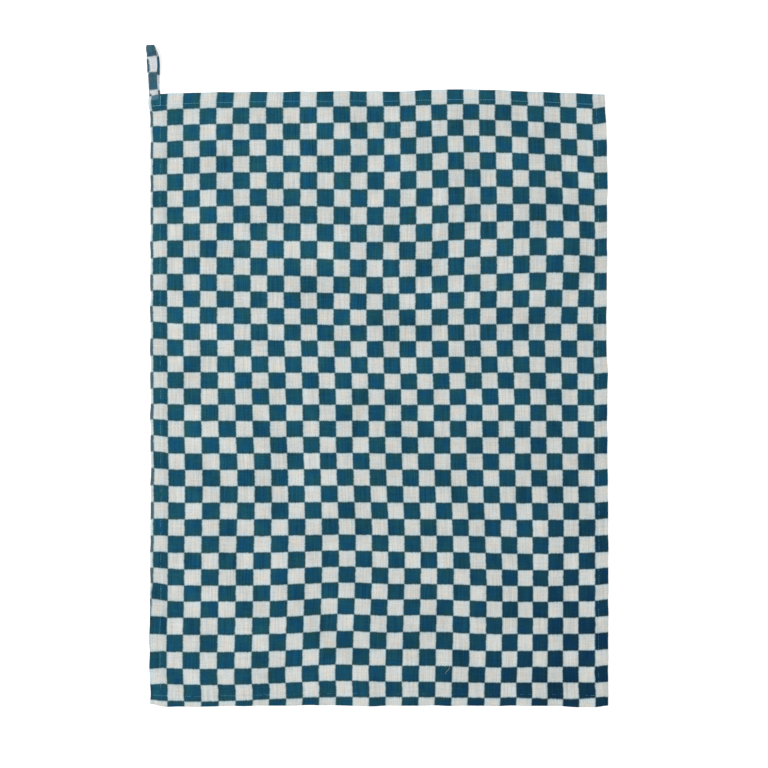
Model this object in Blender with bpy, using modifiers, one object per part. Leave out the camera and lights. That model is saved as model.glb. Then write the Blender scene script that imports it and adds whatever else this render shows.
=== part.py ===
"""Hand towel: a hemmed sheet of check cloth that lies face up, and the folded tape loop that it hangs by.

The towel's length runs along Y, its face is up, and the loop stands out past the upper left corner.
Lengths are metres. The tables of swells, ripples and loop stations are in millimetres.
"""

import math
from collections import namedtuple

import bmesh
import bpy
from mathutils import Vector

MM = 0.001

# The front face, from fold to fold, before the cloth gathers a little.
WIDTH = 523 * MM
LENGTH = 700 * MM

# Thicknesses of one layer, of a hem, and of a corner where two hems cross.
BODY_THICK = 1.2 * MM
HEM_THICK = 2.4 * MM
CORNER_THICK = 3.3 * MM

# Hems, as wide as from the fold to where the turned layers end.
SIDE_HEM = 11.5 * MM
END_HEM = 12.5 * MM
HEM_FALL = 5 * MM
FOLD_ROUND = 0.9 * MM
FOLD_HEIGHT = 0.7
CELL = 15 * MM

# The hanging loop's tape, and its seat under the upper left corner, open at both folds.
TAPE_WIDTH = 11.6 * MM
TAPE_THICK = 1.1 * MM
TAPE_FROM_FOLD = 4.9 * MM
TAPE_TUCKED = 10 * MM
SEAT_GAP = 0.3 * MM
SEAT_SLACK = 1.2 * MM
SEAT_ROOF = 2 * MM
SEAT_FALL = 5 * MM
SEAT_WALL = 0.1 * MM
LOOP_STEPS = 6

# Broad swells of the weave. A point is pushed most at the centre, and less over the half widths.
Swell = namedtuple("Swell", "across up half_across half_up push")
SWELLS_RIGHT = (
    Swell(-250, 0, 90, 900, -3.0),
    Swell(260, 0, 80, 900, -3.5),
    Swell(-20, -175, 150, 120, 6.5),
    Swell(130, -250, 60, 90, 3.0),
    Swell(-150, -90, 60, 60, 2.5),
    Swell(0, 260, 60, 60, 1.5),
    Swell(150, 345, 120, 70, -2.5),
    Swell(-140, 320, 60, 110, -1.5),
    Swell(220, 170, 30, 70, 2.5),
    Swell(160, 80, 100, 50, -1.5),
    Swell(-265, 0, 20, 900, 3.0),
    Swell(265, -220, 25, 200, 1.5),
    Swell(265, 345, 25, 70, -1.5),
    Swell(-264, 0, 3, 900, -1.5),
    Swell(-264, -150, 3.5, 220, -1.5),
)
SWELLS_UP = (
    Swell(110, 290, 110, 80, 6.0),
    Swell(200, 190, 70, 60, 2.5),
    Swell(-130, 260, 120, 60, 2.0),
    Swell(10, 140, 110, 60, -3.5),
    Swell(0, 90, 400, 90, -2.5),
    Swell(-50, -250, 50, 90, 3.5),
    Swell(50, -260, 40, 50, 2.5),
    Swell(0, -350, 900, 40, 2.5),
    Swell(0, -354, 900, 10, -2.5),
    Swell(-190, -190, 80, 40, -1.0),
    Swell(170, -180, 70, 50, -2.0),
    Swell(-190, -320, 80, 50, -3.0),
    Swell(-265, 350, 30, 30, -3.5),
    Swell(262, 350, 30, 30, -2.0),
    Swell(262, -350, 30, 30, -1.5),
    Swell(200, 352, 80, 14, -2.0),
    Swell(20, 352, 30, 14, -1.3),
    Swell(-165, -352, 60, 14, 1.7),
    Swell(-25, -352, 30, 14, -1.2),
    Swell(240, -352, 30, 14, -1.4),
)

# Low ripples, where the cloth lifts off what it lies on.
Ripple = namedtuple("Ripple", "across up half_across half_up height")
RIPPLES = (
    Ripple(40, -20, 170, 22, 2.0),
    Ripple(188, -225, 26, 110, 2.4),
    Ripple(-45, -195, 75, 24, 1.7),
    Ripple(82, 285, 24, 60, 1.6),
    Ripple(-165, 150, 60, 26, 1.3),
)
RIPPLE_FLOOR = 0.15

# The loop's middle line: across from its seat, up from the towel's upper edge, and height.
Station = namedtuple("Station", "across up height")
LOOP_STATIONS = (
    Station(0.0, -10.0, 0.60),
    Station(0.0, 0.0, 0.60),
    Station(0.0, 14.0, 0.65),
    Station(-0.5, 32.0, 0.70),
    Station(-2.8, 46.0, 0.95),
    Station(-4.9, 53.5, 2.00),
    Station(-5.9, 56.0, 4.60),
    Station(-5.6, 52.5, 7.30),
    Station(-4.5, 45.0, 8.20),
    Station(-2.8, 33.0, 7.60),
    Station(-1.9, 20.0, 5.60),
    Station(-1.4, 9.0, 3.20),
    Station(-0.8, 1.5, 2.00),
    Station(0.0, -10.0, 1.95),
)

CLOTH_BLUE = (0.012, 0.085, 0.135, 1.0)
TAPE_BLUE = (0.045, 0.125, 0.195, 1.0)


def clear_scene():
    for obj in list(bpy.data.objects):
        bpy.data.objects.remove(obj)


def smooth(value):
    """0 below 0, 1 above 1, and an S curve between."""
    value = min(max(value, 0.0), 1.0)
    return value * value * (3.0 - 2.0 * value)


def bell(spot, across, up):
    """1 at the spot, and less away from it by its half widths. across and up are metres."""
    right = (across / MM - spot.across) / spot.half_across
    high = (up / MM - spot.up) / spot.half_up
    return math.exp(-right * right - high * high)


def swollen(across, up):
    """The place of a point of the flat cloth once the swells have pushed it."""
    right = sum(s.push * bell(s, across, up) for s in SWELLS_RIGHT)
    high = sum(s.push * bell(s, across, up) for s in SWELLS_UP)
    return across + right * MM, up + high * MM


def lift(across, up):
    """How far the ripples raise the cloth. Away from them it is exactly 0."""
    total = 0.0
    for ripple in RIPPLES:
        share = max(bell(ripple, across, up) - RIPPLE_FLOOR, 0.0) / (1.0 - RIPPLE_FLOOR)
        total += ripple.height * MM * share * share * (3.0 - 2.0 * share)
    return total


def seat_limits():
    """How far right and how far down the seat of the loop's ends goes on the flat cloth."""
    right = -WIDTH / 2 + TAPE_FROM_FOLD + TAPE_WIDTH / 2 + SEAT_SLACK
    return right, LENGTH / 2 - TAPE_TUCKED - SEAT_SLACK


def seat_height():
    return 2 * TAPE_THICK + 2 * SEAT_GAP


def hem_share(from_fold, hem):
    """1 on the hem, falling to 0 on the single layer."""
    return 1.0 - smooth((from_fold - hem) / HEM_FALL)


def under_height(across, up):
    right, low = seat_limits()
    if across <= right and up >= low:
        return seat_height()
    return lift(across, up)


def top_height(across, up):
    from_side = WIDTH / 2 - abs(across)
    from_end = LENGTH / 2 - abs(up)
    side = hem_share(from_side, SIDE_HEM)
    end = hem_share(from_end, END_HEM)
    crossing = CORNER_THICK - 2 * HEM_THICK + BODY_THICK
    height = BODY_THICK + (HEM_THICK - BODY_THICK) * (side + end) + crossing * side * end
    right, low = seat_limits()
    outside = max(across - right, low - up, 0.0)
    over_seat = 1.0 - smooth(outside / SEAT_FALL)
    from_fold = min(from_side, from_end)
    edge = FOLD_HEIGHT + (1.0 - FOLD_HEIGHT) * smooth(from_fold / FOLD_ROUND)
    roof = seat_height() + SEAT_ROOF * edge
    return height * edge * (1.0 - over_seat) + roof * over_seat + lift(across, up)


def stations(half, hem, extra):
    """Grid lines from -half to half: at the folds, across the hems, and evenly between."""
    near = [0.0, FOLD_ROUND, hem, hem + HEM_FALL / 2, hem + HEM_FALL]
    inner = half - hem - HEM_FALL
    count = round(2 * inner / CELL)
    lines = [-half + step for step in near]
    lines += [half - step for step in near]
    lines += [inner * (2 * step / count - 1) for step in range(1, count)]
    return sorted(lines + extra)


def new_material(name, colour):
    material = bpy.data.materials.new(name)
    material.use_nodes = True
    shader = material.node_tree.nodes["Principled BSDF"]
    shader.inputs["Base Color"].default_value = colour
    shader.inputs["Roughness"].default_value = 0.9
    shader.inputs["Metallic"].default_value = 0.0
    return material


def new_object(name, bm, material, collection, parent):
    bmesh.ops.recalc_face_normals(bm, faces=bm.faces[:])
    mesh = bpy.data.meshes.new(name)
    bm.to_mesh(mesh)
    bm.free()
    mesh.materials.append(material)
    obj = bpy.data.objects.new(name, mesh)
    collection.objects.link(obj)
    obj.parent = parent
    return obj


def line_of(coordinate, lines):
    """The grid line that a point of a grid from -1 to 1 lies on."""
    return lines[round((coordinate + 1) / 2 * (len(lines) - 1))]


def make_cloth(collection, parent):
    """A slab: a grid for the face, extruded to the underside, each with its own height."""
    right, low = seat_limits()
    across_lines = stations(WIDTH / 2, SIDE_HEM, [right, right + SEAT_WALL])
    up_lines = stations(LENGTH / 2, END_HEM, [low - SEAT_WALL, low])
    bm = bmesh.new()
    bmesh.ops.create_grid(
        bm, x_segments=len(across_lines) - 1, y_segments=len(up_lines) - 1, size=1.0
    )
    under = bmesh.ops.extrude_face_region(bm, geom=bm.faces[:])["geom"]
    under_points = {item for item in under if isinstance(item, bmesh.types.BMVert)}
    for point in bm.verts:
        across = line_of(point.co.x, across_lines)
        up = line_of(point.co.y, up_lines)
        height = under_height if point in under_points else top_height
        point.co = Vector((*swollen(across, up), height(across, up)))
    material = new_material("check_cloth", CLOTH_BLUE)
    return new_object("towel_cloth", bm, material, collection, parent)


def blend(before, start, end, after, share):
    """A point of the smooth curve through start and end, at a share from 0 to 1 between them."""
    slope_in = (end - before) / 2
    slope_out = (after - start) / 2
    square, cube = share**2, share**3
    return (
        start * (2 * cube - 3 * square + 1)
        + slope_in * (cube - 2 * square + share)
        + end * (3 * square - 2 * cube)
        + slope_out * (cube - square)
    )


def loop_line():
    """Points of the loop's middle line, from its lower end round to its upper end."""
    knots = [Vector(station) * MM for station in LOOP_STATIONS]
    knots = [2 * knots[0] - knots[1], *knots, 2 * knots[-1] - knots[-2]]
    points = []
    for first in range(len(knots) - 3):
        for step in range(LOOP_STEPS):
            points.append(blend(*knots[first : first + 4], step / LOOP_STEPS))
    return [*points, knots[-2]]


def make_loop(collection, parent):
    """A strip of the tape's width along the loop's middle line, with Solidify for its thickness."""
    line = loop_line()
    seat = Vector((*swollen(-WIDTH / 2 + TAPE_FROM_FOLD, LENGTH / 2), 0))
    bm = bmesh.new()
    bmesh.ops.create_grid(bm, x_segments=1, y_segments=len(line) - 1, size=1.0)
    for point in bm.verts:
        side = Vector((point.co.x * TAPE_WIDTH / 2, 0, 0))
        point.co = seat + line_of(point.co.y, line) + side
    material = new_material("loop_tape", TAPE_BLUE)
    loop = new_object("hanging_loop", bm, material, collection, parent)
    solidify = loop.modifiers.new("tape_thickness", "SOLIDIFY")
    solidify.thickness = TAPE_THICK
    solidify.offset = 0.0
    solidify.use_even_offset = True
    return loop


def stand_on_origin(parent, objects):
    """Moves the parent so that the box round the objects has its bottom centre at the origin."""
    graph = bpy.context.evaluated_depsgraph_get()
    corners = [Vector(c) for obj in objects for c in obj.evaluated_get(graph).bound_box]
    low = Vector(map(min, zip(*corners)))
    high = Vector(map(max, zip(*corners)))
    parent.location = (-(low.x + high.x) / 2, -(low.y + high.y) / 2, -low.z)


def main():
    clear_scene()
    collection = bpy.data.collections.new("hand_towel")
    bpy.context.scene.collection.children.link(collection)
    parent = bpy.data.objects.new("hand_towel_frame", None)
    collection.objects.link(parent)
    cloth = make_cloth(collection, parent)
    loop = make_loop(collection, parent)
    stand_on_origin(parent, [cloth, loop])


main()
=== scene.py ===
"""Hand towel, dressed: check cloth, double-turned hems, a tape loop, hem stitching and a stray fibre.

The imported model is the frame. The towel lies face up on the floor at z = 0, its length along Y.
Lengths are metres, and millimetres in the tables. Unless a table says otherwise, its places are measured
on the flat towel from the towel's own middle, and towel_place() carries them to the frame.
"""

import math
from collections import namedtuple

import bpy
import numpy as np
from bpy.props import FloatProperty, FloatVectorProperty, PointerProperty
from bpy.types import Operator, Panel, PropertyGroup
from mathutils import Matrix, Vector


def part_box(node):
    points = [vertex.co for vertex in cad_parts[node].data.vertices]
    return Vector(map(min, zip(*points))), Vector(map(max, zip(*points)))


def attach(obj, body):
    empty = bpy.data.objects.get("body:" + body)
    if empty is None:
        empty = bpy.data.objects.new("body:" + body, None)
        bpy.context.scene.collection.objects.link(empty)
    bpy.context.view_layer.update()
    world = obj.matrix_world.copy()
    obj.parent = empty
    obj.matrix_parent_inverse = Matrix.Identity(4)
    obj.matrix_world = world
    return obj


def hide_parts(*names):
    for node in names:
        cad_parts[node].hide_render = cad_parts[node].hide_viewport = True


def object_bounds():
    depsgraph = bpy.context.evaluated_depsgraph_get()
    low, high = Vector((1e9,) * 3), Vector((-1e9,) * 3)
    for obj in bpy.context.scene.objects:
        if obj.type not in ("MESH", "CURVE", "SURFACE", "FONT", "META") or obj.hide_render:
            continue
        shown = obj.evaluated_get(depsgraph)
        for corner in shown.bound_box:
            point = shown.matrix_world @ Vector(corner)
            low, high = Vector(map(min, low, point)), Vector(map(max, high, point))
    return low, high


bl_info = {
    "name": "Hand Towel",
    "version": (1, 0, 0),
    "blender": (4, 5, 0),
    "location": "View3D > Sidebar > Hand Towel",
    "description": "Weaves, hems and lays out a check hand towel with a hanging loop",
    "category": "Object",
}

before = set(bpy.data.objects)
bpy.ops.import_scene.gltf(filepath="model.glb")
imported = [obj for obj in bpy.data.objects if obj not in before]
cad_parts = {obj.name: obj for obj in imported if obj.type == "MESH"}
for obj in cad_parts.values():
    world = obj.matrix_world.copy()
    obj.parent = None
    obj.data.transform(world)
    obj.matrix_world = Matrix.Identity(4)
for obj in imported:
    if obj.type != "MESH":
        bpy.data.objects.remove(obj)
FRAME_LOW, FRAME_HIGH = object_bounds()

MM = 0.001
BODY = "root"
FLAT_MAP = "flat_cloth"


def table(row_type, *rows):
    """A table whose rows have the named columns of their type."""
    return tuple(row_type(*row) for row in rows)


# Hems: how the cloth falls past them, how shy the raw edge stays, the gap to the floor, and the share of
# a layer that the cloth itself fills.
HEM_FALL = 9 * MM
RAW_EDGE_SHY = 1 * MM
FLOOR_GAP = 0.13 * MM
SKIN_SHARE = 0.93

# The seams' pull: a squeeze, eased where two hems cross, puckers, wavering folds and slanting rows. The
# right fold is pressed flatter than the left one.
SEAM_INSIDE = 1.2 * MM
SEAM_SQUEEZE = 0.16
SEAM_REACH = 2.0 * MM
CROSSING_EASE = 0.6
RIGHT_PRESS = 0.4
PUCKER = 0.22 * MM
PUCKER_REACH = 5 * MM
EDGE_WAVER = 0.3 * MM
SLANT_LEFT = 1.4 * MM
SLANT_RIGHT = 1.3 * MM
SLANT_WAVER = 0.4

# The left fold takes up more cloth above, most at the loop's corner, and less below its turning place.
ROLL_MORE = 1.0 * MM
ROLL_CORNER = 1.3
ROLL_LESS = 2.2 * MM
ROLL_TURNS = -280 * MM
ROLL_REACH = 95 * MM

# Grid of the cloth: fine near the hems, wider in the open face.
FACE_CELL = 4.9 * MM
HEM_CELL = 1.25 * MM
HEM_BAND = 21 * MM
ARC_STEPS = 5
FOLD_SAMPLES = 401

# The checks: how ragged their edges are, how far dark yarn reaches over them, and how wide their rim is.
RAGGED = 0.45 * MM
RAGGED_SEEDS = (17.5, 41.5)
EDGE_OUTSIDE = 1.45 * MM
EDGE_INSIDE = 0.7 * MM
RIM = 5.5 * MM

# Unevenness of the checks and yarns: the width and height of its clouds, where their pattern starts, its
# detail and roughness, and how strongly it shows.
Cloud = namedtuple("Cloud", "width height right up detail roughness share")
DRIFT_ACROSS = Cloud(9, 9, 0.0, 0.0, 1.0, 0.5, 1.0 * MM)
DRIFT_UP = Cloud(9, 9, 31.0, 7.0, 1.0, 0.5, 1.0 * MM)
WARP_SLUBS = Cloud(1.7, 38, 0.0, 0.0, 2.0, 0.6, 0.6)
WEFT_SLUBS = Cloud(24, 1.4, 9.0, 0.0, 2.0, 0.6, 0.35)
GRAIN = Cloud(1.3, 2.1, 4.0, 8.0, 1.0, 0.5, 0.35)
PATCHES = Cloud(45, 45, 0.0, 0.0, 2.0, 0.5, 0.35)
THICK_YARNS = Cloud(2.2, 60, 3.0, 0.0, 1.0, 0.5, 0.08)
WARMTH = Cloud(7, 10, 5.0, 2.0, 1.0, 0.5, 2.4)
GREENNESS = Cloud(15, 15, 15.0, 12.0, 2.0, 0.5, 2.4)
THICK_FROM = 0.62
THICK_TO = 0.74
WEAVE_MIDDLE = 0.6
WEAVE_SHARE = 0.12

# How high the weave and its slubs stand in the cloth's relief, and how far the checks' rims sink.
Relief = namedtuple("Relief", "weave warp weft rim")
RELIEF = Relief(0.5, 0.3, 0.2, 0.3)

# A yarn's looks: the darkest and lightest share of its tint, its contrast, its hues and its rim's tint.
Yarn = namedtuple("Yarn", "darkest lightest contrast cool warm rim")
DARK = Yarn(0.5, 1.5, 1.5, (0.65, 0.93, 1.14, 1), (1.35, 1.07, 0.86, 1), (2.7, 0.87, 0.6, 1))
PALE = Yarn(0.82, 1.17, 2.2, (0.955, 1.01, 1.05, 1), (1.045, 0.99, 0.945, 1), (0.78, 1.01, 1.15, 1))

# Painted light and shade on the dark yarn: tints from the lower right to the upper left, lighter where
# the light falls from the upper left, and painted shade at the lower right corner, deepest there.
WHITE = (1.0, 1.0, 1.0, 1.0)
PAINTED_SHADE_LOWER_RIGHT = (0.66, 0.73, 0.79, 1.0)
PAINTED_LIGHT_UPPER_LEFT = (1.26, 1.23, 1.18, 1.0)
CORNER_PAINTED_SHADE = (0.54, 0.59, 0.73, 1.0)
CORNER_PAINTED_SHADE_REACH = 0.3

# Marks on the yarns: a lighter patch of the dark yarn on the corner over the loop's ends, painted shading
# along the left fold that greys the dark yarn, and painted light on the tape's lower run, where the arch
# above shades it.
# Lengths say from where to where each fades, about its line.
CORNER_PATCH_SHARE = 0.55
CORNER_PATCH_TINT = (0.11, 0.20, 0.27, 1.0)
CORNER_BESIDE = 0.8 * MM
CORNER_BELOW = 1.6 * MM
CORNER_ABOVE = 1.4 * MM
FOLD_SHADING_SHARE = 0.5
FOLD_SHADING_TINT = (0.13, 0.15, 0.16, 1.0)
FOLD_FROM = 2.5 * MM
FOLD_TO = 0.5 * MM
TAPE_PAINTED_LIGHT_TINT = (1.45, 1.45, 1.48, 1.0)
TAPE_PAINTED_LIGHT_BLUR = 2 * MM

# The loop's ends under the upper left corner.
TAPE_FROM_FOLD = 4.9 * MM
TAPE_TUCKED = 10 * MM
SEAT_GAP = 0.3 * MM
SEAT_SLACK = 1.2 * MM
SEAT_FALL = 5 * MM
PATCH_BELOW_FOLD = 5.2 * MM
LOOP_STEPS = 10

# The tape's section: its number of sides, and the powers of the cosine and the sine that square it up.
TAPE_SIDES = 28
SQUARE_ACROSS = 0.5
SQUARE_HIGH = 0.8

# Swells of the weave, the broad ones first. Each pushes points most at its centre, and less over its half
# widths. The small ones near the folds move the outline by up to about 3 mm, and the others the checks.
Swell = namedtuple("Swell", "across up half_across half_up push")
SWELLS_RIGHT = table(
    Swell,
    (-250, 0, 90, 900, -3.0),
    (260, 0, 80, 900, -3.5),
    (-20, -175, 150, 120, 6.5),
    (130, -250, 60, 90, 3.0),
    (-150, -90, 60, 60, 2.5),
    (0, 260, 60, 60, 1.5),
    (150, 345, 120, 70, -2.5),
    (-140, 320, 60, 110, -1.5),
    (220, 170, 30, 70, 2.5),
    (160, 80, 100, 50, -1.5),
    (-265, 0, 20, 900, 3.0),
    (265, -220, 25, 200, 1.5),
    (265, 345, 25, 70, -1.5),
    (-264, 0, 3, 900, -1.5),
    (-264, -150, 3.5, 220, -1.5),
    (-60, 5, 170, 60, 1.7),
    (-225, -90, 60, 50, 1.0),
    (140, 265, 55, 100, -1.2),
    (15, 320, 35, 40, 1.2),
    (190, -140, 50, 70, 1.5),
    (75, -315, 110, 60, 2.0),
    (-230, -285, 50, 45, -1.3),
    (110, 150, 60, 50, -0.7),
    (100, -200, 50, 40, 0.7),
    (-170, -346, 90, 13, 1.8),
    (262, 255, 12, 28, 1.2),
    (262, 30, 12, 22, 1.1),
    (-262, 344, 9, 15, -2.2),
    (263, 302, 8, 20, 1.5),
    (-166, 350, 75, 13, 1.9),
    (190, 350, 60, 13, -1.1),
    (-25, -350, 70, 16, 1.3),
    (-120, -334, 120, 10, 1.2),
)
SWELLS_UP = table(
    Swell,
    (110, 290, 110, 80, 6.0),
    (200, 190, 70, 60, 2.5),
    (-130, 260, 120, 60, 2.0),
    (10, 140, 110, 60, -3.5),
    (0, 90, 400, 90, -2.5),
    (-50, -250, 50, 90, 3.5),
    (50, -260, 40, 50, 2.5),
    (0, -350, 900, 40, 2.5),
    (0, -354, 900, 10, -2.5),
    (-190, -190, 80, 40, -1.0),
    (170, -180, 70, 50, -2.0),
    (-190, -320, 80, 50, -3.0),
    (-265, 350, 30, 30, -3.5),
    (262, 350, 30, 30, -2.0),
    (262, -350, 30, 30, -1.5),
    (200, 352, 80, 14, -2.0),
    (20, 352, 30, 14, -1.3),
    (-165, -352, 60, 14, 1.7),
    (-25, -352, 30, 14, -1.2),
    (240, -352, 30, 14, -1.4),
    (-235, 250, 45, 75, -1.2),
    (10, 215, 60, 35, -1.1),
    (-130, 145, 90, 28, -1.1),
    (30, 30, 60, 28, -1.1),
    (240, 35, 60, 50, -1.4),
    (-60, -80, 80, 40, 0.8),
    (0, -249, 400, 28, 0.8),
    (130, -305, 50, 28, -0.9),
    (200, 320, 70, 28, -0.6),
    (-45, 320, 40, 30, 0.9),
    (100, 170, 35, 40, 0.8),
    (-261, 350, 6, 8, -2.0),
    (-249, 352, 14, 10, 0.8),
    (-263, -350, 11, 12, 3.0),
    (260, -348, 12, 14, 2.6),
    (-262, 210, 16, 22, 1.6),
    (-262, 88, 16, 34, 2.6),
    (-262, -60, 16, 95, 3.2),
    (-262, -222, 16, 40, 3.6),
    (-246, 300, 7, 30, -1.4),
    (264, 115, 16, 140, -1.1),
    (262, -245, 16, 45, 1.5),
    (263, 325, 9, 16, 1.8),
    (-215, 343, 40, 24, -0.6),
)

# How the lower end's fold rolls: where push is above 0 it takes up less cloth, and its rows lie lower.
END_ROLLS = table(
    Swell,
    (-263, -350, 12, 12, 2.4),
    (-192, -343, 55, 9, 1.4),
    (20, -343, 120, 9, -1.8),
    (150, -343, 28, 9, -1.0),
    (248, -343, 24, 9, -2.3),
)

# Low ripples, where the cloth lifts off what it lies on.
Ripple = namedtuple("Ripple", "across up half_across half_up height")
RIPPLES = table(
    Ripple,
    (40, -20, 170, 22, 2.0),
    (188, -225, 26, 110, 2.4),
    (-45, -195, 75, 24, 1.7),
    (82, 285, 24, 60, 1.6),
    (-165, 150, 60, 26, 1.3),
)
RIPPLE_FLOOR = 0.15

# The loop's middle line: across from its seat, up from the towel's upper fold, and height.
Station = namedtuple("Station", "across up height")
LOOP_STATIONS = table(
    Station,
    (0.0, -10.0, 0.60),
    (0.0, 0.0, 0.60),
    (0.0, 14.0, 0.65),
    (-0.5, 32.0, 0.70),
    (-2.8, 46.0, 0.95),
    (-4.9, 53.5, 2.00),
    (-5.9, 56.0, 4.60),
    (-5.6, 52.5, 7.30),
    (-4.5, 45.0, 8.20),
    (-2.8, 33.0, 7.60),
    (-1.9, 20.0, 5.60),
    (-1.4, 9.0, 3.20),
    (-0.8, 1.5, 2.00),
    (0.0, -10.0, 1.95),
)

# How far the tape's edges lie from the loop's line, to the left and to the right of it.
Edges = namedtuple("Edges", "along left right")
TAPE_EDGES = table(
    Edges,
    (0, 5.8, 5.8),
    (39, 5.8, 5.9),
    (44, 5.8, 6.4),
    (50, 5.8, 6.8),
    (54, 5.6, 6.9),
    (60, 4.4, 6.0),
    (67.5, 3.0, 5.4),
    (71, 3.8, 6.2),
    (76, 4.1, 6.6),
    (79, 3.8, 7.4),
    (83, 4.5, 7.1),
    (87, 5.2, 6.8),
    (94, 5.6, 6.2),
    (99, 5.9, 5.3),
    (103, 5.6, 4.9),
    (114, 5.6, 4.4),
    (122, 5.6, 4.7),
    (136, 5.7, 5.3),
)

# Where the lines between the tape's checks lie along it.
Line = namedtuple("Line", "along number")
TAPE_LINES = table(
    Line,
    (0, -0.8),
    (15.1, 0),
    (33.0, 1),
    (52.5, 2),
    (67.5, 3),
    (82.5, 4),
    (100.3, 5),
    (120.1, 6),
    (136.1, 6.85),
)

# Where the neighbouring column of checks shows along the tape's left edge.
Sliver = namedtuple("Sliver", "along width")
TAPE_SLIVERS = table(
    Sliver,
    (0, 0.0),
    (60, 0.4),
    (83, 0.6),
    (87, 2.8),
    (98, 2.9),
    (103, 1.0),
    (117, 0.8),
    (123.5, 0.5),
    (126.5, 2.6),
    (129.5, 2.6),
    (132, 0.0),
    (136, 0.0),
)

# Seams from end to end, and how proud of the cloth the thread stands: from 0 for sunk to 1. The tack that
# holds the loop's ends is sewn twice, and stands prouder yet.
Seam = namedtuple("Seam", "across_from up_from across_to up_to proud")
FACE_SEAMS = table(
    Seam,
    (-248.9, -348.5, -250.1, -60.0, 0.55),
    (-250.1, -60.0, -249.2, 336.5, 0.58),
    (250.4, -348.5, 251.7, 348.5, 0.4),
    (-260.0, -338.4, -110.0, -338.2, 0.55),
    (-110.0, -338.2, 260.2, -338.5, 0.36),
    (-250.0, 337.2, -110.0, 338.8, 0.85),
    (-110.0, 338.8, 60.0, 337.4, 0.75),
    (60.0, 337.4, 260.2, 336.8, 0.95),
)
BACK_SEAMS = table(
    Seam,
    (-249.8, -336.0, -249.8, 336.0, 0.9),
    (250.4, -336.0, 251.7, 336.0, 0.9),
    (-260.0, -338.3, 260.2, -338.5, 0.9),
    (-244.0, 338.2, 260.2, 336.8, 0.9),
)
TACK = table(
    Seam,
    (-260.6, 337.2, -248.8, 336.9, 1.7),
    (-248.8, 336.9, -249.2, 348.2, 1.1),
)

# A stitch's five points: how far along it they lie, and their height and radius in threads' thicknesses.
STITCH_ALONG = np.array([0.04, 0.2, 0.5, 0.8, 0.96])
STITCH_RISE = np.array([-0.55, 0.1, 0.3, 0.1, -0.55])
STITCH_TAPER = np.array([0.3, 0.5, 0.5, 0.5, 0.3])
STITCH_WAVER = 0.25 * MM
THINNEST = 0.4
THREAD_SIDES = 6
THREAD_TWIST = 0.9 * MM
THREAD_SHADE = 0.72

# The stray fibre on the face, its height measured from the face.
FIBRE = table(
    Station,
    (74.9, -306.2, 0.30),
    (73.6, -309.8, 0.55),
    (71.4, -312.2, 0.40),
    (70.2, -314.9, 0.25),
)
FIBRE_THICK = 0.28 * MM
FIBRE_SIDES = 8
FIBRE_STEPS = 8
FIBRE_TWIST = 0.7 * MM

# Where the soft light stands, how wide it is, and how far the camera sees.
KEY_PLACE = (-2.4, 0.3, 2.4)
KEY_SIZE = 1.6
SIGHT = 100.0
BOARD_SHADE = 0.985


def table_columns(rows):
    """The columns of a table, as arrays."""
    return np.array(rows).T


def smooth(value):
    """0 below 0, 1 above 1, and between them three times the square less twice the cube."""
    value = np.clip(value, 0.0, 1.0)
    return value * value * (3.0 - 2.0 * value)


def bell(spot, across, up):
    """e to the minus sum of the squared distances from the spot, each over its half width."""
    right = (across / MM - spot.across) / spot.half_across
    high = (up / MM - spot.up) / spot.half_up
    return np.exp(-right * right - high * high)


def ridge(distance, reach):
    """e to the minus square of the distance over its reach."""
    return np.exp(-((distance / reach) ** 2))


def pushed(swells, across, up):
    """How far the swells push a place of the flat cloth: the sum of their bells."""
    return sum(swell.push * bell(swell, across, up) for swell in swells) * MM


def swollen(across, up):
    """Where the swells push places of the flat cloth, to the right and up."""
    right = pushed(SWELLS_RIGHT, across, up)
    high = pushed(SWELLS_UP, across, up)
    return across + right, up + high


def lift(across, up):
    """Height of the ripples: for each, its bell over a floor, through the S curve."""
    total = 0.0
    for ripple in RIPPLES:
        share = (bell(ripple, across, up) - RIPPLE_FLOOR) / (1.0 - RIPPLE_FLOOR)
        total = total + ripple.height * MM * smooth(share)
    return total


def wander(place, span, phase):
    """A waver between -1 and 1: two sines of unlike wavelengths, the longer of which is span."""
    turn = 2 * math.pi * place / span
    return 0.6 * np.sin(turn + phase) + 0.4 * np.sin(1.618 * turn + 2.3 * phase)


def towel_place(cloth):
    """How far the towel's own middle lies from the frame's, right and up.

    The swollen right and upper folds meet the solid's box."""
    _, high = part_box("towel_cloth")
    along = np.linspace(-0.5, 0.5, FOLD_SAMPLES)
    right, _ = swollen(cloth.width / 2, along * cloth.length)
    _, top = swollen(along * cloth.width, cloth.length / 2)
    return high.x - right.max(), high.y - top.max()


def from_folds(cloth, across, up):
    """How far inside the nearest side fold and the nearest end fold places of the flat cloth lie."""
    return cloth.width / 2 - np.abs(across), cloth.length / 2 - np.abs(up)


def hem_share(from_fold, hem):
    """1 on the hem, falling to 0 on the single layer."""
    return 1.0 - smooth((from_fold - hem) / HEM_FALL)


def corner_lift(cloth, loop, across, up):
    """How far the tape's two ends lift the upper left corner: their height, falling past the seat."""
    right = -cloth.width / 2 + TAPE_FROM_FOLD + loop.tape_width / 2 + SEAT_SLACK
    low = cloth.length / 2 - TAPE_TUCKED - SEAT_SLACK
    outside = np.maximum(np.maximum(across - right, low - up), 0.0)
    return 2 * (loop.tape_thick + SEAT_GAP) * (1.0 - smooth(outside / SEAT_FALL))


def seam_share(cloth, across, up):
    """1 on the lines of the hems' seams and less beside them: a ridge along the nearest seam."""
    from_side, from_end = from_folds(cloth, across, up)
    off_side = np.abs(from_side - cloth.side_hem + SEAM_INSIDE)
    off_end = np.abs(from_end - cloth.end_hem + SEAM_INSIDE)
    return ridge(np.minimum(off_side, off_end), SEAM_REACH)


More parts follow.
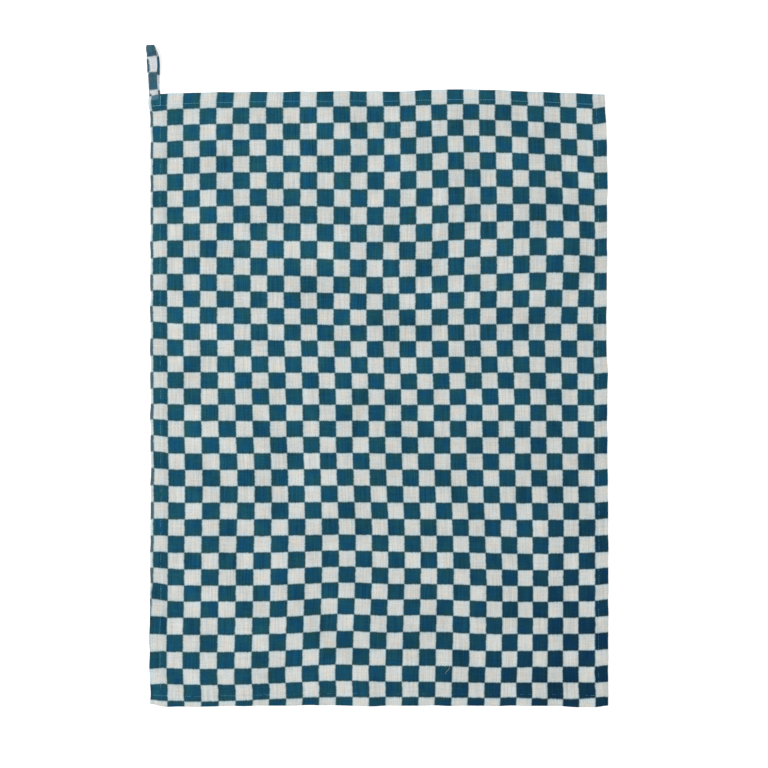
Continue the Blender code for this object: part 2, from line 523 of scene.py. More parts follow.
def layer_heights(cloth, across, up):
    """What the layers take up at a place of the flat cloth, squeezed by the seams.

    Gives one layer of a side hem, an end hem's depth to its back layer (2 plain layers, or 8 pressed over
    a side hem) and to its tucked layer (1 or 3), the cloth's thickness, and the face's height."""
    from_side, from_end = from_folds(cloth, across, up)
    side = hem_share(from_side, cloth.side_hem)
    end = hem_share(from_end, cloth.end_hem)
    squeeze = 1 - SEAM_SQUEEZE * seam_share(cloth, across, up) * (1 - CROSSING_EASE * side * end)
    squeeze = squeeze * (1 - RIGHT_PRESS * smooth(1 - (cloth.width / 2 - across) / cloth.side_hem))
    plain = cloth.layer * squeeze
    pressed = cloth.pressed_layer * squeeze
    side_layer = plain + end * (pressed - plain)
    deep = 2 * plain + side * (8 * pressed - 2 * plain)
    middle = plain + side * (3 * pressed - plain)
    thick = SKIN_SHARE * (plain + side * end * (pressed - plain))
    face = FLOOR_GAP + thick / 2 + 2 * side_layer * side * (1 - end) + deep * end
    return side_layer, deep, middle, thick, face


# Stations of the cut cloth in one direction, from raw edge to raw edge.
Turn = namedtuple("Turn", "part share side")
FRONT, OUTER, BACK, INNER, TUCKED = range(5)


def turn_stations(half, hem):
    """The parts that a hemmed direction runs through, and the share of its part done at each station."""
    band = HEM_BAND / half
    fine = round(HEM_BAND / HEM_CELL)
    wide = round(2 * (half - HEM_BAND) / FACE_CELL)
    front = np.concatenate(
        [
            np.linspace(-1.0, band - 1.0, fine + 1),
            np.linspace(band - 1.0, 1.0 - band, wide + 1)[1:-1],
            np.linspace(1.0 - band, 1.0, fine + 1),
        ]
    )
    straight = round(hem / HEM_CELL)
    steps = {OUTER: ARC_STEPS, BACK: straight, INNER: ARC_STEPS, TUCKED: straight}
    part = np.concatenate([np.full(count, name) for name, count in steps.items()])
    share = np.concatenate([np.arange(1, count + 1) / count for count in steps.values()])
    return Turn(
        np.concatenate([part[::-1], np.full(len(front), FRONT), part]),
        np.concatenate([share[::-1], front, share]),
        np.concatenate([-np.ones(len(part)), np.ones(len(front) + len(part))]),
    )


def turned(turn, half, hem, deep, middle, thick):
    """The section of a double-turned hem: straight runs joined by two half circles.

    Gives its reach from the towel's middle, its depth under the face layer, and its lean in radians."""
    outer = deep / 2
    inner = (deep - middle) / 2
    edge = half - thick / 2 - outer
    crease = half - hem + thick / 2 + inner
    raw = edge - RAW_EDGE_SHY
    arc = math.pi * turn.share
    parts = [turn.part == name for name in (OUTER, BACK, INNER, TUCKED)]
    reach = np.select(
        parts,
        [
            edge + outer * np.sin(arc),
            edge + (crease - edge) * turn.share,
            crease - inner * np.sin(arc),
            crease + (raw - crease) * turn.share,
        ],
        edge * turn.share,
    )
    fall = 1 - np.cos(arc)
    depth = np.select(parts, [-outer * fall, -deep, -deep + inner * fall, -middle], 0.0)
    lean = np.select(parts, [arc, math.pi, math.pi + arc, 2 * math.pi], 0.0)
    return turn.side * reach, depth, lean


def cut_lengths(half, hem, layer):
    """The lengths of the parts on the cloth as cut, from its middle to its raw edge."""
    thick = SKIN_SHARE * layer
    edge = half - thick / 2 - layer
    crease = half - hem + thick / 2 + layer / 2
    return [edge, math.pi * layer, edge - crease, math.pi * layer / 2, edge - RAW_EDGE_SHY - crease]


def cut_place(turn, lengths):
    """Where the stations lie on the cloth as cut, before it is turned: the parts' lengths, added up."""
    starts = np.concatenate([[0.0], np.cumsum(lengths)[:-1]])
    return turn.side * (starts[turn.part] + np.array(lengths)[turn.part] * turn.share)


def cut_size(cloth):
    """The width and the length of the cloth as cut."""
    width = 2 * sum(cut_lengths(cloth.width / 2, cloth.side_hem, cloth.layer))
    length = 2 * sum(cut_lengths(cloth.length / 2, cloth.end_hem, cloth.layer))
    return width, length


def rolled(cloth, across, up):
    """How much more of the cut cloth the left fold takes up, from nothing at its seam.

    It takes up more above, most at the corner, and less below."""
    past_seam = smooth((-across - cloth.width / 2 + cloth.side_hem) / cloth.side_hem)
    upper = smooth((up - ROLL_TURNS) / ROLL_REACH)
    near_corner = 1 - smooth((cloth.length / 2 - up) / (2 * cloth.end_hem))
    return past_seam * (ROLL_MORE * upper * (1 + ROLL_CORNER * near_corner) - ROLL_LESS * (1 - upper))


def puckers(cloth, across, up):
    """Small puckers of the face along the seams: a waver along each seam, fading away from it."""
    from_side, from_end = from_folds(cloth, across, up)
    near_side = ridge(from_side - cloth.side_hem, PUCKER_REACH)
    near_end = ridge(from_end - cloth.end_hem, PUCKER_REACH)
    along_side = near_side * (1 + wander(up, span=13.1 * MM, phase=0.4)) / 2
    along_end = near_end * (1 + wander(across, span=15.7 * MM, phase=1.9)) / 2
    return PUCKER * np.maximum(along_side, along_end)


def drawn(cloth, across, up):
    """The seams' pull in the plane: the side hems slant the rows, and the folds waver a little."""
    from_side, from_end = from_folds(cloth, across, up)
    near_side = smooth(1 - from_side / (2 * cloth.side_hem))
    near_end = smooth(1 - from_end / (2 * cloth.end_hem))
    past_seam = np.clip(1 - from_side / cloth.side_hem, 0.0, 1.0)
    slant = np.where(across > 0, SLANT_RIGHT, -SLANT_LEFT) * past_seam * (1 - near_end)
    slant = slant * (1 + SLANT_WAVER * wander(up, span=171 * MM, phase=0.7))
    right = EDGE_WAVER * near_side * wander(up, span=41 * MM, phase=2.1 + across / cloth.width)
    high = EDGE_WAVER * near_end * wander(across, span=47 * MM, phase=0.9 + up / cloth.length)
    return across + right, up + slant + high


def to_frame(cloth, across, up, height):
    """Points of the frame from places of the flat cloth: drawn by the seams, swollen and moved."""
    right, top = swollen(*drawn(cloth, across, up))
    move = towel_place(cloth)
    return np.stack([right + move[0], top + move[1], height], axis=-1)


def face_point(cloth, loop, across, up, above=0.0):
    """Points on top of the face at places of the flat cloth, raised by above."""
    *_, thick, face = layer_heights(cloth, across, up)
    height = face + thick / 2 + lift(across, up) + corner_lift(cloth, loop, across, up)
    return to_frame(cloth, across, up, height + puckers(cloth, across, up) + above)


def back_point(cloth, loop, across, up, below=0.0):
    """Points under the hems' back layer at places of the flat cloth, sunk by below."""
    height = FLOOR_GAP + lift(across, up) + corner_lift(cloth, loop, across, up)
    return to_frame(cloth, across, up, height - below)


def cloth_surface(cloth, loop):
    """The middle of the whole cloth, hems turned, as a grid of points.

    Gives each point's thickness and its place on the cut too. The sides are turned first, then the ends
    turn the stack over."""
    half_width = cloth.width / 2
    half_length = cloth.length / 2
    sides = turn_stations(half_width, cloth.side_hem)
    ends = turn_stations(half_length, cloth.end_hem)
    cut_across = cut_place(sides, cut_lengths(half_width, cloth.side_hem, cloth.layer))
    cut_up = cut_place(ends, cut_lengths(half_length, cloth.end_hem, cloth.layer))
    cut_across, cut_up = np.broadcast_arrays(cut_across[:, None], cut_up[None, :])
    end_roll = pushed(END_ROLLS, cut_across, cut_up)
    flat = np.stack([cut_across - rolled(cloth, cut_across, cut_up), cut_up + end_roll], axis=-1)
    sides = Turn(*(values[:, None] for values in sides))
    ends = Turn(*(values[None, :] for values in ends))

    plain = (2 * cloth.layer, cloth.layer, SKIN_SHARE * cloth.layer)
    flat_across = turned(sides, half_width, cloth.side_hem, *plain)[0]
    flat_up = turned(ends, half_length, cloth.end_hem, *plain)[0]
    side_layer, deep, middle, thick, face = layer_heights(cloth, flat_across, flat_up)
    pressed = (2 * side_layer, side_layer, SKIN_SHARE * side_layer)
    across, side_depth, _ = turned(sides, half_width, cloth.side_hem, *pressed)
    up, end_depth, lean = turned(ends, half_length, cloth.end_hem, deep, middle, thick)
    height = face + end_depth + side_depth * np.cos(lean)
    height = height + lift(across, up) + corner_lift(cloth, loop, across, up)
    up = up + side_depth * ends.side * np.sin(lean)
    on_face = (sides.part == FRONT) & (ends.part == FRONT)
    height = height + on_face * puckers(cloth, across, up)
    return to_frame(cloth, across, up, height), thick, flat


def unit(vectors):
    """Vectors over their lengths."""
    return vectors / np.linalg.norm(vectors, axis=-1, keepdims=True)


def grid_normals(points):
    """Unit normals of a grid: the cross products of the steps between each point's neighbours."""
    return unit(np.cross(np.gradient(points, axis=0), np.gradient(points, axis=1)))


def grid_faces(rows, columns, first=0, closed=False):
    """Corner numbers of the quads of a grid, closed round its columns if asked."""
    numbers = first + np.arange(rows * columns).reshape(rows, columns)
    if closed:
        numbers = np.concatenate([numbers, numbers[:, :1]], axis=1)
    quads = [numbers[:-1, :-1], numbers[1:, :-1], numbers[1:, 1:], numbers[:-1, 1:]]
    return np.stack(quads, axis=-1).reshape(-1, 4)


def edge_loop(rows, columns):
    """Point numbers round the edge of a grid, anticlockwise seen from its normal's side."""
    numbers = np.arange(rows * columns).reshape(rows, columns)
    return np.concatenate([numbers[:, 0], numbers[-1, 1:], numbers[-2::-1, -1], numbers[0, -2:0:-1]])


def new_piece(name, points, faces, materials):
    """A smooth-shaded mesh object at the origin, linked to the scene."""
    mesh = bpy.data.meshes.new(name)
    mesh.from_pydata(points.tolist(), [], faces)
    mesh.update()
    for material in materials:
        mesh.materials.append(material)
    mesh.polygons.foreach_set("use_smooth", [True] * len(mesh.polygons))
    obj = bpy.data.objects.new(name, mesh)
    bpy.context.scene.collection.objects.link(obj)
    return obj


def set_flat_map(obj, flat):
    """The piece's flat_cloth map: each corner of a face gets its point's place on the cut cloth."""
    corners = np.empty(len(obj.data.loops), dtype=np.int32)
    obj.data.loops.foreach_get("vertex_index", corners)
    layer = obj.data.uv_layers.new(name=FLAT_MAP)
    layer.data.foreach_set("uv", flat.reshape(-1, 2)[corners].astype(np.float32).ravel())


def curve_through(knots, steps):
    """Points of the smooth curve through the knots: cubics blend the ends and slopes of each span."""
    knots = np.array(knots)
    knots = np.vstack([2 * knots[0] - knots[1], knots, 2 * knots[-1] - knots[-2]])
    share = np.linspace(0, 1, steps, endpoint=False)[None, :, None]
    before, start, end, after = (knots[n : len(knots) - 3 + n, None, :] for n in range(4))
    points = (
        start * (2 * share**3 - 3 * share**2 + 1)
        + (end - before) / 2 * (share**3 - 2 * share**2 + share)
        + end * (3 * share**2 - 2 * share**3)
        + (after - start) / 2 * (share**3 - share**2)
    )
    return np.vstack([points.reshape(-1, 3), knots[-2]])


def tubes(paths, radii, sides):
    """Capped tubes along paths (tube, ring, xyz): circles of each ring's radius, square to the path."""
    count, rings = radii.shape
    along = unit(np.gradient(paths, axis=1))
    across = unit(np.cross(along, [0.0, 0.0, 1.0]))
    normal = np.cross(across, along)
    turn = np.linspace(0, 2 * math.pi, sides, endpoint=False)
    wheel = np.cos(turn)[:, None] * across[:, :, None] + np.sin(turn)[:, None] * normal[:, :, None]
    points = paths[:, :, None] + wheel * radii[:, :, None, None]
    numbers = np.arange(count * rings * sides).reshape(count, rings, sides)
    after = np.roll(numbers, -1, axis=2)
    quads = np.stack([numbers[:, :-1], numbers[:, 1:], after[:, 1:], after[:, :-1]], axis=-1)
    caps = np.concatenate([numbers[:, 0], numbers[:, -1, ::-1]])
    return points.reshape(-1, 3), quads.reshape(-1, 4).tolist() + caps.tolist()


class Wire:
    """One output socket of a node tree. Its operators add Math nodes, so an expression is a tree."""

    def __init__(self, recipe, socket):
        self.recipe = recipe
        self.socket = socket

    def math(self, operation, *others):
        return self.recipe.math(operation, self, *others)

    def __add__(self, other):
        return self.math("ADD", other)

    def __mul__(self, other):
        return self.math("MULTIPLY", other)

    def __sub__(self, other):
        return self.math("SUBTRACT", other)

    def __rsub__(self, other):
        return self.recipe.math("SUBTRACT", other, self)

    def __truediv__(self, other):
        return self.math("DIVIDE", other)

    __radd__ = __add__
    __rmul__ = __mul__


class Recipe:
    """A material's node tree, with one method that adds any node."""

    def __init__(self, name):
        self.material = bpy.data.materials.new(name)
        self.material.use_nodes = True
        self.tree = self.material.node_tree
        self.shader = self.tree.nodes["Principled BSDF"]

    def put(self, socket, value):
        if isinstance(value, Wire):
            self.tree.links.new(value.socket, socket)
        else:
            socket.default_value = value

    def node(self, kind, settings=None, inputs=None, output=0):
        """Adds a node with its settings, then its sockets' values or links, and gives one output."""
        node = self.tree.nodes.new(kind)
        for name, value in (settings or {}).items():
            setattr(node, name, value)
        for name, value in (inputs or {}).items():
            self.put(node.inputs[name], value)
        return Wire(self, node.outputs[output])

    def math(self, operation, *values):
        return self.node("ShaderNodeMath", {"operation": operation}, dict(enumerate(values)))

    def mix(self, share, first, second, blend="MIX"):
        """A colour between two colours, or the two blended in another way."""
        settings = {"data_type": "RGBA", "blend_type": blend}
        return self.node("ShaderNodeMix", settings, {0: share, 6: first, 7: second}, output=2)

    def ramp(self, value, low, high, to_low=0.0, to_high=1.0):
        """A value stepped smoothly from to_low to to_high as it goes from low to high."""
        settings = {"interpolation_type": "SMOOTHSTEP"}
        inputs = {0: value, 1: low, 2: high, 3: to_low, 4: to_high}
        return self.node("ShaderNodeMapRange", settings, inputs)

    def noise(self, cloud, across, up):
        """A cloud's noise from 0 to 1 at a place of the flat cloth."""
        x = across / (cloud.width * MM) + cloud.right
        y = up / (cloud.height * MM) + cloud.up
        place = self.node("ShaderNodeCombineXYZ", None, {0: x, 1: y})
        inputs = {"Vector": place, "Scale": 1.0, "Detail": cloud.detail, "Roughness": cloud.roughness}
        return self.node("ShaderNodeTexNoise", {"noise_dimensions": "2D"}, inputs)

    def uneven(self, cloud, across, up):
        """A cloud's noise about 0, as strong as it shows."""
        return (self.noise(cloud, across, up) - 0.5) * cloud.share

    def tinted(self, face, tint):
        """A colour multiplied by a tint."""
        return self.mix(1.0, face, tint, "MULTIPLY")

    def touched(self, face, share, tint):
        """A colour multiplied by a tint where share is 1, and left alone where it is 0."""
        return self.tinted(face, self.mix(share, WHITE, tint))

    def parts(self, vector):
        """The three parts of a vector."""
        split = self.node("ShaderNodeSeparateXYZ", None, {0: vector}).socket.node
        return [Wire(self, part) for part in split.outputs]

    def scatter(self, value):
        """An unrelated number from 0 to 1 for each whole number."""
        settings = {"noise_dimensions": "1D"}
        return self.node("ShaderNodeTexWhiteNoise", settings, {"W": value}, output="Value")

    def bump(self, height, strength, distance):
        """A normal bumped by a height from 0 to 1."""
        inputs = {"Strength": strength, "Distance": distance, "Height": height}
        return self.node("ShaderNodeBump", None, inputs)

    def surface(self, **sockets):
        """Values or links for the shader's sockets, whose spaces are written as underscores."""
        for name, value in sockets.items():
            self.put(self.shader.inputs[name.replace("_", " ")], value)


def colour(tint, share=1.0):
    """A share of a tint, as a socket's value."""
    return (tint[0] * share, tint[1] * share, tint[2] * share, 1.0)


def check_pattern(recipe, across, up, check, thread):
    """The check at a place of the flat cloth: the share of dark yarn, and how far the nearest edge lies.

    Each direction is a triangle wave, ragged from thread to thread. A check is dark where their signs
    differ, and dark yarns reach a little over its edges."""
    ends_across = (recipe.scatter((up / thread).math("FLOOR") + RAGGED_SEEDS[0]) - 0.5) * RAGGED
    ends_up = (recipe.scatter((across / thread).math("FLOOR") + RAGGED_SEEDS[1]) - 0.5) * RAGGED
    columns = (across + ends_across + recipe.uneven(DRIFT_ACROSS, across, up)) / check
    rows = (up + ends_up + recipe.uneven(DRIFT_UP, across, up)) / check
    wave_across = ((columns + 0.5).math("PINGPONG", 1.0) - 0.5) * check
    wave_up = ((rows + 0.5).math("PINGPONG", 1.0) - 0.5) * check
    near = wave_across.math("ABSOLUTE").math("MINIMUM", wave_up.math("ABSOLUTE"))
    inside = near * (wave_across * wave_up).math("SIGN") * -1.0
    return recipe.ramp(inside, -EDGE_OUTSIDE, EDGE_INSIDE), near


def weave_height(recipe, across, up, thread):
    """Plain weave: warp and weft are rounded ridges, and the product of two cosines says which is up."""
    turn_across = across * (math.pi / thread)
    turn_up = up * (math.pi / thread)
    warp = turn_across.math("SINE").math("ABSOLUTE")
    weft = turn_up.math("SINE").math("ABSOLUTE")
    over = turn_across.math("COSINE") * turn_up.math("COSINE")
    return (warp * (over * 0.5 + 0.5)).math("MAXIMUM", weft * (0.5 - over * 0.5))


def yarn_face(recipe, yarn, tint, tone, hue):
    """What one yarn shows: its tint, darker or lighter by its tone, then cooler or warmer by its hue."""
    tone = tone * yarn.contrast + 0.5
    face = recipe.mix(tone, colour(tint, yarn.darkest), colour(tint, yarn.lightest))
    return recipe.tinted(face, recipe.mix(hue + 0.5, yarn.cool, yarn.warm))


def cloth_material(
    name, cloth, yarns, corner=(0.0, 0.0), rim_share=1.0, patch_corner=None, painted_light_below=None, reverse=False
):
    """Double cloth of dark and pale yarn that change places from check to check, with slubs and a weave.

    cloth and yarns are the settings with the sizes and the tints, and corner is where four checks meet.
    The patch's corner, if given, is the right and the lower side of the corner that lies over the loop's
    ends: the dark yarn is lighter there, and greyed by painted fold shading along the left fold. A row
    for painted light, if given, is the row below which the piece is painted lighter: painted light on the
    tape's lower run, which the arch above shades."""
    recipe = Recipe(name)
    right, top = recipe.parts(recipe.node("ShaderNodeUVMap", {"uv_map": FLAT_MAP}))[:2]
    across = right - corner[0]
    up = top - corner[1]
    dark, near = check_pattern(recipe, across, up, cloth.check, cloth.thread)
    if reverse:
        dark = 1.0 - dark

    warp = recipe.noise(WARP_SLUBS, across, up)
    weft = recipe.noise(WEFT_SLUBS, across, up)
    weave = weave_height(recipe, across, up, cloth.thread)
    tone = (warp - 0.5) * WARP_SLUBS.share + (weft - 0.5) * WEFT_SLUBS.share
    tone = tone + recipe.uneven(GRAIN, across, up) + recipe.uneven(PATCHES, across, up)
    tone = tone + (weave - WEAVE_MIDDLE) * WEAVE_SHARE
    thick = recipe.ramp(recipe.noise(THICK_YARNS, across, up), THICK_FROM, THICK_TO)
    pale_tone = tone + thick * THICK_YARNS.share

    green = recipe.uneven(GREENNESS, across, up)
    warmth = recipe.uneven(WARMTH, across, up)
    dark_face = yarn_face(recipe, DARK, yarns.dark_yarn, tone, green)
    # Painted light and shade: the dark yarn is painted lighter towards the upper left, where the light
    # falls, and darker towards the lower right.
    painted_light_share = (top / cloth.length - right / cloth.width) * 0.5 + 0.5
    dark_face = recipe.tinted(dark_face, recipe.mix(painted_light_share, PAINTED_SHADE_LOWER_RIGHT, PAINTED_LIGHT_UPPER_LEFT))
    # Painted shade at the lower right corner: the dark yarn is darkest there.
    dark_face = recipe.touched(dark_face, recipe.ramp(painted_light_share, CORNER_PAINTED_SHADE_REACH, 0.0), CORNER_PAINTED_SHADE)
    pale_face = yarn_face(recipe, PALE, yarns.pale_yarn, pale_tone, warmth)
    rim = recipe.ramp(near, 0.0, RIM, 1.0, 0.0)
    rim = rim * rim * rim_share
    pale_face = recipe.touched(pale_face, rim, PALE.rim)
    dark_face = recipe.touched(dark_face, rim, DARK.rim)
    if patch_corner:
        # A lighter patch of the dark yarn on the corner that lies over the loop's ends.
        beside = recipe.ramp(right, patch_corner[0] + CORNER_BESIDE, patch_corner[0] - CORNER_BESIDE)
        above = recipe.ramp(top, patch_corner[1] - CORNER_BELOW, patch_corner[1] + CORNER_ABOVE)
        dark_face = recipe.mix(beside * above * CORNER_PATCH_SHARE, dark_face, CORNER_PATCH_TINT)
        # Painted fold shading: the dark yarn is greyed along the left fold.
        outside = recipe.ramp(right, -cloth.width / 2 + FOLD_FROM, -cloth.width / 2 + FOLD_TO)
        dark_face = recipe.mix(outside * FOLD_SHADING_SHARE, dark_face, FOLD_SHADING_TINT)
    face = recipe.mix(dark, pale_face, dark_face)
    # Painted light on the tape's lower run: the piece is painted lighter below the given row, where the
    # arch above shades it.
    if painted_light_below:
        below = recipe.ramp(top, painted_light_below + TAPE_PAINTED_LIGHT_BLUR, painted_light_below - TAPE_PAINTED_LIGHT_BLUR)
        face = recipe.touched(face, below, TAPE_PAINTED_LIGHT_TINT)

    relief = weave * RELIEF.weave + warp * RELIEF.warp + weft * RELIEF.weft - rim * RELIEF.rim
    recipe.surface(
        Base_Color=face,
        Roughness=0.95 - dark * 0.06,
        Normal=recipe.bump(relief, 0.35, 0.25 * MM),
        Specular_IOR_Level=0.06,
        Sheen_Weight=0.02,
        Sheen_Roughness=0.6,
    )
    return recipe.material


def thread_material(name, tint, twist):
    """Spun thread: ridges slant round it, with painted shade in the grooves between them, lighter on
    their crowns.
    """
    recipe = Recipe(name)
    x, y, z = recipe.parts(recipe.node("ShaderNodeTexCoord", output="Object"))
    ply = ((x + y + z) * (2 * math.pi / twist)).math("SINE") * 0.5 + 0.5
    recipe.surface(
        Base_Color=recipe.mix(ply, colour(tint, THREAD_SHADE), colour(tint)),
        Roughness=0.8 - ply * 0.1,
        Normal=recipe.bump(ply, 0.5, 0.05 * MM),
        Specular_IOR_Level=0.3,
        Sheen_Weight=0.1,
    )
    return recipe.material


def floor_material(tint, glow):
    """Matt pale board with the faintest unevenness, lit a little from within."""
    recipe = Recipe("studio_board")
    place = recipe.node("ShaderNodeTexCoord", output="Object")
    cloud = recipe.node("ShaderNodeTexNoise", None, {"Vector": place, "Scale": 3.0, "Detail": 2.0})
    recipe.surface(
        Base_Color=recipe.mix(cloud, colour(tint, BOARD_SHADE), colour(tint)),
        Roughness=1.0,
        Specular_IOR_Level=0.0,
        Emission_Color=colour(tint),
        Emission_Strength=glow,
    )
    return recipe.material


def length_setting(name, description, millimetres):
    """A length that a user can change."""
    return FloatProperty(name=name, description=description, default=millimetres * MM, unit="LENGTH")


def tint_setting(name, description, *tint):
    """A colour that a user can change."""
    return FloatVectorProperty(name=name, description=description, default=tint, subtype="COLOR", size=3)


class TowelCloth(PropertyGroup):
    """Sizes of the cloth and colours of its yarns."""

    width: length_setting("Width", "Face from side fold to side fold, as woven", 523)
    length: length_setting("Length", "Face from end fold to end fold, as woven", 700)
    side_hem: length_setting("Side Hem", "Width of the double-turned side hems", 12.5)
    end_hem: length_setting("End Hem", "Width of the double-turned end hems", 12.8)
    layer: length_setting("Layer", "Height that one layer of cloth takes up", 0.75)
    pressed_layer: length_setting("Pressed Layer", "Height of a layer where two hems cross", 0.33)
    check: length_setting("Check", "Side of one check", 18.75)
    thread: length_setting("Thread", "Distance from one yarn to the next", 0.85)
    first_column: length_setting("First Column", "A column line, from the middle", -240.85)
    first_row: length_setting("First Row", "A row line, from the middle", 331.8)
    dark_yarn: tint_setting("Dark Yarn", "Deep teal yarn", 0.0054, 0.0635, 0.109)
    pale_yarn: tint_setting("Pale Yarn", "Undyed yarn", 0.536, 0.543, 0.518)


class TowelLoop(PropertyGroup):
    """Sizes and colours of the hanging loop's tape."""

    tape_width: length_setting("Tape Width", "Width of the folded tape", 11.6)
    tape_thick: length_setting("Tape Thickness", "Thickness of the folded tape", 1.1)
    edge_round: length_setting("Edge Round", "How far the tape's edges are rounded", 1.3)
    dark_yarn: tint_setting("Dark Yarn", "Tape's teal, a little worn", 0.030, 0.098, 0.152)
    pale_yarn: tint_setting("Pale Yarn", "Tape's undyed yarn", 0.55, 0.575, 0.59)


class TowelStitching(PropertyGroup):
    """Sizes and colours of the sewing thread and of the stray fibre."""

    stitch: length_setting("Stitch", "Length of one stitch", 2.7)
    thread_thick: length_setting("Thread Thickness", "Thickness of the sewing thread", 0.25)
    thread_tint: tint_setting("Thread Colour", "Pale blue-grey thread", 0.24, 0.67, 0.85)
    fibre_tint: tint_setting("Fibre Colour", "Pale fibre", 0.55, 0.60, 0.60)


class TowelStage(PropertyGroup):
    """The floor, the light and the camera."""

    floor_size: length_setting("Floor", "Side of the floor", 16000)
    floor_tint: tint_setting("Floor Colour", "Pale board", 0.95, 0.95, 0.95)
    floor_glow: FloatProperty(name="Floor Glow", description="Light from within the board", default=0.3)
    sky: FloatProperty(name="Sky", description="Strength of the even white light", default=0.84)
    key: FloatProperty(
        name="Key", description="Power of the soft light at the left", default=62.0, unit="POWER"
    )
    lens: FloatProperty(
        name="Lens", description="Focal length", default=100.0, subtype="DISTANCE_CAMERA"
    )
    view_width: length_setting("View Width", "Width of the picture at the floor", 875.8)
    aim_right: length_setting("Aim Right", "Picture's middle, right of the towel's", 8.6)
    aim_up: length_setting("Aim Up", "Picture's middle, above the towel's", -8.4)


class HANDTOWEL_OT_fold_loop(Operator):
    """Folds the tape into the hanging loop"""

    bl_idname = "hand_towel.fold_loop"
    bl_label = "Fold the Loop"

    def execute(self, context):
        make_loop(context.scene.towel_cloth, context.scene.towel_loop)
        return {"FINISHED"}


class HANDTOWEL_OT_weave_cloth(Operator):
    """Weaves the check cloth and turns its hems"""

    bl_idname = "hand_towel.weave_cloth"
    bl_label = "Weave the Cloth"

    def execute(self, context):
        make_cloth(context.scene.towel_cloth, context.scene.towel_loop)
        return {"FINISHED"}


class HANDTOWEL_OT_sew_hems(Operator):
    """Sews the hems and the loop's ends, on the face and on the back"""

    bl_idname = "hand_towel.sew_hems"
    bl_label = "Sew the Hems"

    def execute(self, context):
        scene = context.scene
        make_stitches(scene.towel_cloth, scene.towel_loop, scene.towel_stitching)
        return {"FINISHED"}


class HANDTOWEL_OT_drop_fibre(Operator):
    """Drops one stray fibre on the face"""

    bl_idname = "hand_towel.drop_fibre"
    bl_label = "Drop the Fibre"

    def execute(self, context):
        scene = context.scene
        make_fibre(scene.towel_cloth, scene.towel_loop, scene.towel_stitching)
        return {"FINISHED"}


class HANDTOWEL_OT_set_stage(Operator):
    """Sets the floor, the soft light and the camera above the towel"""

    bl_idname = "hand_towel.set_stage"
    bl_label = "Set the Stage"

    def execute(self, context):
        make_stage(context.scene.towel_stage)
        return {"FINISHED"}


class HANDTOWEL_PT_sidebar(Panel):
    """Lists the towel's steps and sizes"""

    bl_idname = "HANDTOWEL_PT_sidebar"
    bl_label = "Hand Towel"
    bl_space_type = "VIEW_3D"
    bl_region_type = "UI"
    bl_category = "Hand Towel"

    def draw(self, context):
        layout = self.layout
        for step in STEPS:
            layout.operator(step.bl_idname)
        for settings in SETTINGS:
            group = getattr(context.scene, settings)
            for name in SETTINGS[settings].__annotations__:
                layout.prop(group, name)


STEPS = (
    HANDTOWEL_OT_fold_loop,
    HANDTOWEL_OT_weave_cloth,
    HANDTOWEL_OT_sew_hems,
    HANDTOWEL_OT_drop_fibre,
    HANDTOWEL_OT_set_stage,
)
SETTINGS = {
    "towel_cloth": TowelCloth,
    "towel_loop": TowelLoop,
    "towel_stitching": TowelStitching,
    "towel_stage": TowelStage,
}


def register():
    for group in SETTINGS.values():
        bpy.utils.register_class(group)
    for step in (*STEPS, HANDTOWEL_PT_sidebar):
        bpy.utils.register_class(step)
    for name, group in SETTINGS.items():
        setattr(bpy.types.Scene, name, PointerProperty(type=group))


def unregister():
    for name in SETTINGS:
        delattr(bpy.types.Scene, name)
    for group in (HANDTOWEL_PT_sidebar, *reversed(STEPS), *reversed(SETTINGS.values())):
        bpy.utils.unregister_class(group)


def make_loop(cloth, loop):
    """The tape: a rounded oblong section, carried along the loop's line and square to it."""
    line = curve_through(np.array(LOOP_STATIONS) * MM, LOOP_STEPS)
    _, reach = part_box("hanging_loop")
    seat_across = reach.x - loop.tape_width / 2 - line[:, 0].max()
    seat_up = reach.y - loop.tape_thick / 2 - line[:, 1].max()
    line = line + np.array([seat_across, seat_up, 0.0])
    along = np.concatenate([[0.0], np.cumsum(np.linalg.norm(np.diff(line, axis=0), axis=1))])
    tangent = unit(np.gradient(line, axis=0))
    across = unit(np.array([1.0, 0.0, 0.0]) - tangent * tangent[:, :1])
    normal = np.cross(across, tangent)

    spot, to_left, to_right = table_columns(TAPE_EDGES) * MM
    turn = np.linspace(0, 2 * math.pi, TAPE_SIDES, endpoint=False)
    flat_across = np.sign(np.cos(turn)) * np.abs(np.cos(turn)) ** SQUARE_ACROSS
    flat_high = np.sign(np.sin(turn)) * np.abs(np.sin(turn)) ** SQUARE_HIGH
    right_half = np.interp(along, spot, to_right)[:, None]
    left_half = np.interp(along, spot, to_left)[:, None]
    half = np.where(flat_across > 0, right_half, left_half)
    out = flat_across * (half - loop.edge_round + loop.edge_round * np.abs(flat_across))
    high = loop.tape_thick / 2 * flat_high
    points = line[:, None] + out[:, :, None] * across[:, None] + high[None, :, None] * normal[:, None]
    rings = len(line)
    numbers = np.arange(rings * TAPE_SIDES).reshape(rings, TAPE_SIDES)
    caps = [numbers[0].tolist(), numbers[-1, ::-1].tolist()]
    faces = grid_faces(rings, TAPE_SIDES, closed=True).tolist() + caps

    sliver = np.interp(along / MM, *table_columns(TAPE_SLIVERS)) * MM
    column = out + loop.tape_width / 2 - sliver[:, None]
    row = np.interp(along / MM, *table_columns(TAPE_LINES)) * cloth.check
    flat = np.stack(np.broadcast_arrays(column, row[:, None]), axis=-1)
    # Painted light on the tape's lower run, below 1.9 checks, where the arch above shades it.
    material = cloth_material("loop_tape_cloth", cloth, loop, rim_share=0.35, painted_light_below=1.9 * cloth.check)
    obj = new_piece("folded_tape_loop", points.reshape(-1, 3), faces, [material])
    set_flat_map(obj, flat)
    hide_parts("hanging_loop")
    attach(obj, BODY)


